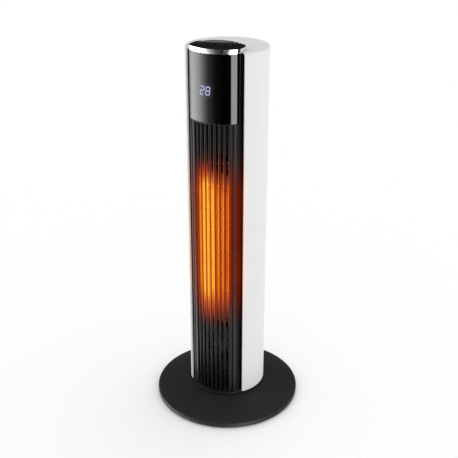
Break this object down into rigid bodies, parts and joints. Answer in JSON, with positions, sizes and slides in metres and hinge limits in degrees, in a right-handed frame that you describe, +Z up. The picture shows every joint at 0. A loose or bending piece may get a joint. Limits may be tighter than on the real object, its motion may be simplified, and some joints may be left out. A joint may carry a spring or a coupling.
{
  "type": "tower fan heater",
  "caption": "Tall round tower fan heater on a wide round foot: white wrap-round shell, slatted black front outlet, display window, chrome rim and touch panel on top.",
  "frame": {"origin": "centre of the ground contact, on the tower's turning axis", "axes": "+Z up along the tower; the slatted front faces -Y, so +X is to the right of someone facing the heater"},
  "size_m": [0.307, 0.307, 0.7735],
  "materials": {
    "foot_black": "fine textured matte black",
    "inner_black": "satin black moulding",
    "grille_black": "satin black, heat resistant",
    "window_black": "polished smoked black",
    "touch_black": "satin-gloss black touch surface",
    "shell_white": "smooth satin white",
    "chrome_trim": "mirror bright plating",
    "steel": "zinc plated",
    "ballast_steel": "dark coated plate",
    "rubber": "matte soft rubber",
    "acetal": "natural acetal",
    "bronze": "sintered bronze",
    "board_green": "solder mask",
    "components": "moulded cases",
    "led_white": "diffuser block",
    "heater_frame": "black heat resistant frame",
    "fin_glow": "hot fins, glowing orange",
    "ptc_ceramic": "ceramic bars in aluminium",
    "filter_grey": "fine nylon mesh",
    "switch_black": "satin black",
    "wire_sleeve": "glass-fibre sleeve"
  },
  "bodies": {
    "foot": {"base_cover": "foot_black", "base_plate": "inner_black", "ballast_plate": "ballast_steel", "rubber_feet": "rubber", "base_screws": "steel", "pivot_post": "steel", "post_nut": "steel", "swing_gear": "acetal", "glide_ring": "acetal", "cord_gland": "rubber", "tip_switch": "components"},
    "tip_plunger": {"tip_plunger": "acetal"},
    "impeller": {"impeller": "components", "impeller_hub": "rubber", "motor_shaft": "steel", "impeller_stub": "steel"},
    "swing_pinion": {"swing_pinion": "acetal", "pinion_shaft": "steel"},
    "power_rocker": {"power_rocker": "switch_black"},
    "tower": {"tower_floor": "inner_black", "rear_shell": "shell_white", "intake_cover": "shell_white", "dust_filter": "filter_grey", "grip_cup": "shell_white", "front_frame": "inner_black", "grille": "grille_black", "display_panel": "window_black", "display_board": "board_green", "led_module": "led_white", "chrome_trim": "chrome_trim", "top_cap": "shell_white", "control_panel": "touch_black", "touch_board": "board_green", "power_board": "board_green", "board_parts": "components", "heater_frame": "heater_frame", "heater_fins": "fin_glow", "ptc_bars": "ptc_ceramic", "thermal_cutout": "steel", "scroll_wall": "inner_black", "cutoff_wall": "inner_black", "casing_floor": "inner_black", "casing_roof": "inner_black", "upper_bearing": "bronze", "motor_bracket": "steel", "motor_grommets": "rubber", "fan_motor": "steel", "motor_screws": "steel", "swing_motor": "steel", "swing_screws": "steel", "shell_screws": "steel", "switch_body": "switch_black", "wire_loom": "wire_sleeve"}
  },
  "joints": [
    {"name": "tower_swing", "type": "hinge", "parent": "foot", "child": "tower", "pos_m": [0, 0, 0.035], "axis": [0, 0, 1], "range_deg": [-40, 40]},
    {"name": "impeller_spin", "type": "hinge", "parent": "tower", "child": "impeller", "pos_m": [0, 0.018, 0.36], "axis": [0, 0, 1], "continuous": true},
    {"name": "pinion_spin", "type": "hinge", "parent": "tower", "child": "swing_pinion", "pos_m": [0, 0.0375, 0.05], "axis": [0, 0, 1], "range_deg": [-121, 121]},
    {"name": "tip_plunger_slide", "type": "slide", "parent": "foot", "child": "tip_plunger", "axis": [0, 0, 1], "range_m": [-0.005, 0], "stiffness_N_per_m": 60, "springref_m": -0.008},
    {"name": "power_rock", "type": "hinge", "parent": "tower", "child": "power_rocker", "pos_m": [0, 0.07359, 0.078], "axis": [-1, 0, 0], "range_deg": [0, 18]}
  ],
  "couplings": [
    {"joint": "pinion_spin", "follows": "tower_swing", "ratio": 3}
  ]
}
